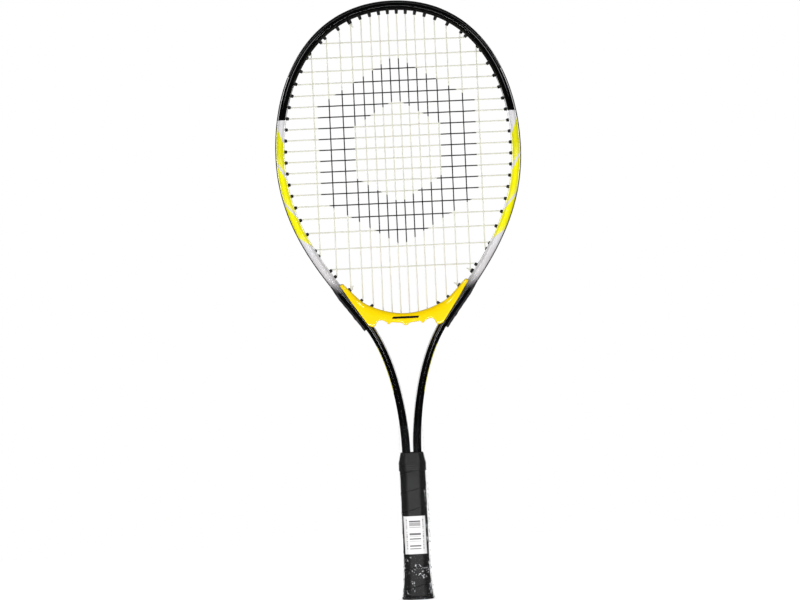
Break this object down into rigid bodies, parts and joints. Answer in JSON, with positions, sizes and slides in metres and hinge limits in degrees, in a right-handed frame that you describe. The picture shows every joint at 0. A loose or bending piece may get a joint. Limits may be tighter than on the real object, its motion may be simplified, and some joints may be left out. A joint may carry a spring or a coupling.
{
  "type": "tennis racket",
  "caption": "Oversize tennis racket with a hollow alloy frame, bumper and grommet strips, throat bridge, woven strings and a wrapped octagonal handle under clear film.",
  "frame": {"origin": "middle of the butt cap's end face", "axes": "+Z along the racket from the butt to the tip, +X across the face of the head, -Y towards the viewer of the front face"},
  "size_m": [0.2814, 0.036, 0.6858],
  "materials": {
    "frame_paint": "gloss lacquer over aluminium: black, with white and yellow bands on the head",
    "yellow_plastic": "glossy moulded yellow",
    "steel": "plain drawn wire and pin stock",
    "strip_plastic": "satin black moulding",
    "throat_strip_plastic": "ridged dark grey moulding",
    "string_nylon": "natural nylon with a faint sheen and a dark stencil in the middle of the bed",
    "pallet_foam": null,
    "cap_plastic": "satin black moulding",
    "grip": "black synthetic leather strip",
    "tape": "black cloth tape",
    "collar_rubber": "black rubber",
    "clear_film": "clear thin packing film with wrinkles",
    "label_paper": "white paper label with plain printed bars"
  },
  "bodies": {
    "root": {"frame_tube": "frame_paint", "throat_bridge": "yellow_plastic", "left_bridge_pin": "steel", "right_bridge_pin": "steel", "bumper_guard": "strip_plastic", "left_grommet_strip": "strip_plastic", "right_grommet_strip": "strip_plastic", "left_throat_strip": "throat_strip_plastic", "right_throat_strip": "throat_strip_plastic", "main_string": "string_nylon", "cross_string": "string_nylon", "front_pallet": "pallet_foam", "back_pallet": "pallet_foam", "butt_cap": "cap_plastic", "butt_plug": "cap_plastic", "front_staple": "steel", "back_staple": "steel", "grip_wrap": "grip", "finishing_tape": "tape", "grip_collar": "collar_rubber", "grip_film": "clear_film", "price_label": "label_paper"}
  },
  "joints": []
}
